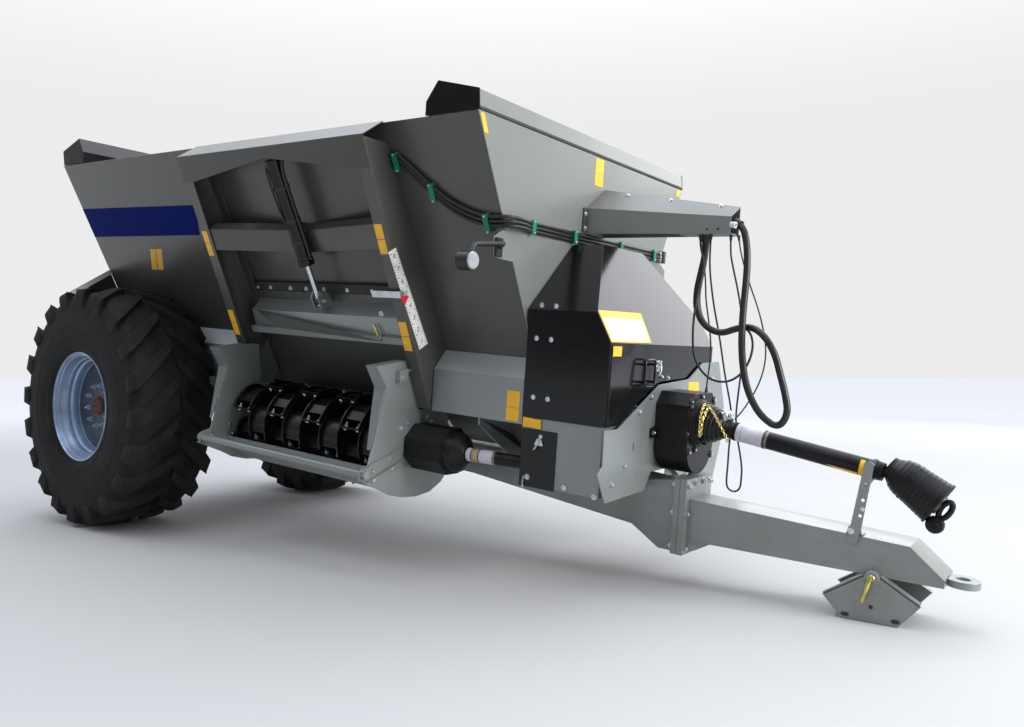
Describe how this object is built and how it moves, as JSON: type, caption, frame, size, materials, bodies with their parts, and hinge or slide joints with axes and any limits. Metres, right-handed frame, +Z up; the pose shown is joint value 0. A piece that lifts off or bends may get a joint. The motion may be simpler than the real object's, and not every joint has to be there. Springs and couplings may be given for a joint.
{
  "type": "side-discharge manure spreader",
  "caption": "Single-axle side-discharge manure spreader with V hopper, bottom auger, side rotor, sliding door, drawbar and guarded power shaft.",
  "frame": {"origin": "centre of the outer box, on the ground", "axes": "+X forward to the drawbar eye, +Y to the machine's left, +Z up"},
  "size_m": [5.853, 2.35, 2.64],
  "materials": {
    "body_paint": "satin",
    "black_paint": "gloss",
    "zinc_steel": "satin",
    "rod_chrome": "polished",
    "worn_steel": "satin",
    "hose_rubber": "matte",
    "tyre_rubber": "matte",
    "rim_silver": "satin",
    "guard_plastic": "matte",
    "clamp_green": "matte"
  },
  "bodies": {
    "spreader": {"auger_trough": "body_paint", "axle_beam": "body_paint", "axle_seats_and_ties": "body_paint", "cable_a": "hose_rubber", "cable_b": "hose_rubber", "cable_c": "hose_rubber", "cable_d": "hose_rubber", "chassis_beam": "body_paint", "clipped_hoses": "hose_rubber", "cylinder_barrel": "black_paint", "door_canopy": "body_paint", "door_cross_beam": "body_paint", "door_posts": "body_paint", "drawbar_beam": "body_paint", "drive_case": "body_paint", "drive_guard": "black_paint", "drive_plate": "body_paint", "front_splash_lid": "body_paint", "gearbox_guard": "black_paint", "guard_bar": "body_paint", "hitch_eye": "body_paint", "hopper_front_wall": "body_paint", "hopper_left_wall": "body_paint", "hopper_rear_wall": "body_paint", "hopper_right_wall": "body_paint", "hose_arm": "body_paint", "hose_bundle": "hose_rubber", "hose_clamps": "clamp_green", "lamps": "guard_plastic", "pto_stay": "body_paint", "rear_boards": "body_paint", "rear_splash_plate": "black_paint", "rotor_pan": "body_paint", "rotor_side_plates": "body_paint", "side_rail_left": "body_paint", "side_rail_right": "body_paint", "side_shaft_guard": "black_paint"},
    "wheel_right": {"tyre_right": "tyre_rubber", "rim_right": "rim_silver", "hub_right": "worn_steel"},
    "wheel_left": {"tyre_left": "tyre_rubber", "rim_left": "rim_silver", "hub_left": "worn_steel"},
    "rotor": {"rotor_tube": "black_paint", "rotor_arms": "black_paint"},
    "auger_screw": {"auger": "worn_steel"},
    "door": {"door_sheet": "body_paint", "door_stiffener": "body_paint", "door_top_seal": "hose_rubber", "door_deflector": "black_paint", "door_pointer": "body_paint", "cylinder_rod": "rod_chrome"},
    "skid": {"skid_foot": "body_paint"},
    "pto_shaft": {"pto_tube": "guard_plastic", "pto_rear_bell": "guard_plastic"},
    "pto_front": {"pto_front_bell": "guard_plastic", "pto_yoke": "zinc_steel"},
    "panel": {"guard_panel": "black_paint"}
  },
  "joints": [
    {"name": "wheel_right_spin", "type": "hinge", "parent": "spreader", "child": "wheel_right", "pos_m": [-2.12605, -0.9, 0.8], "axis": [0, 1, 0], "continuous": true},
    {"name": "wheel_left_spin", "type": "hinge", "parent": "spreader", "child": "wheel_left", "pos_m": [-2.12605, 0.9, 0.8], "axis": [0, 1, 0], "continuous": true},
    {"name": "rotor_spin", "type": "hinge", "parent": "spreader", "child": "rotor", "pos_m": [-0.32787, -0.555, 0.70485], "axis": [0.9968, 0, -0.0805], "continuous": true},
    {"name": "auger_spin", "type": "hinge", "parent": "spreader", "child": "auger_screw", "pos_m": [-0.81914, 0, 1.08135], "axis": [0.9968, 0, -0.0805], "continuous": true},
    {"name": "door_slide", "type": "slide", "parent": "spreader", "child": "door", "axis": [0.0719, -0.4508, 0.8897], "range_m": [-0.2, 0.145]},
    {"name": "skid_swing", "type": "hinge", "parent": "spreader", "child": "skid", "pos_m": [2.54382, 0, 0.18787], "axis": [0, 1, 0], "range_deg": [-35, 35]},
    {"name": "pto_lift", "type": "hinge", "parent": "spreader", "child": "pto_shaft", "pos_m": [1.78935, 0, 0.78357], "axis": [0, -1, 0], "range_deg": [0, 20]},
    {"name": "pto_front_bend", "type": "hinge", "parent": "pto_shaft", "child": "pto_front", "pos_m": [2.64618, 0, 0.59796], "axis": [0, -1, 0], "range_deg": [0, 50]},
    {"name": "guard_panel_hinge", "type": "hinge", "parent": "spreader", "child": "panel", "pos_m": [1.54146, -0.564, 0.9551], "axis": [-0.0805, 0, -0.9968], "range_deg": [0, 100]}
  ]
}
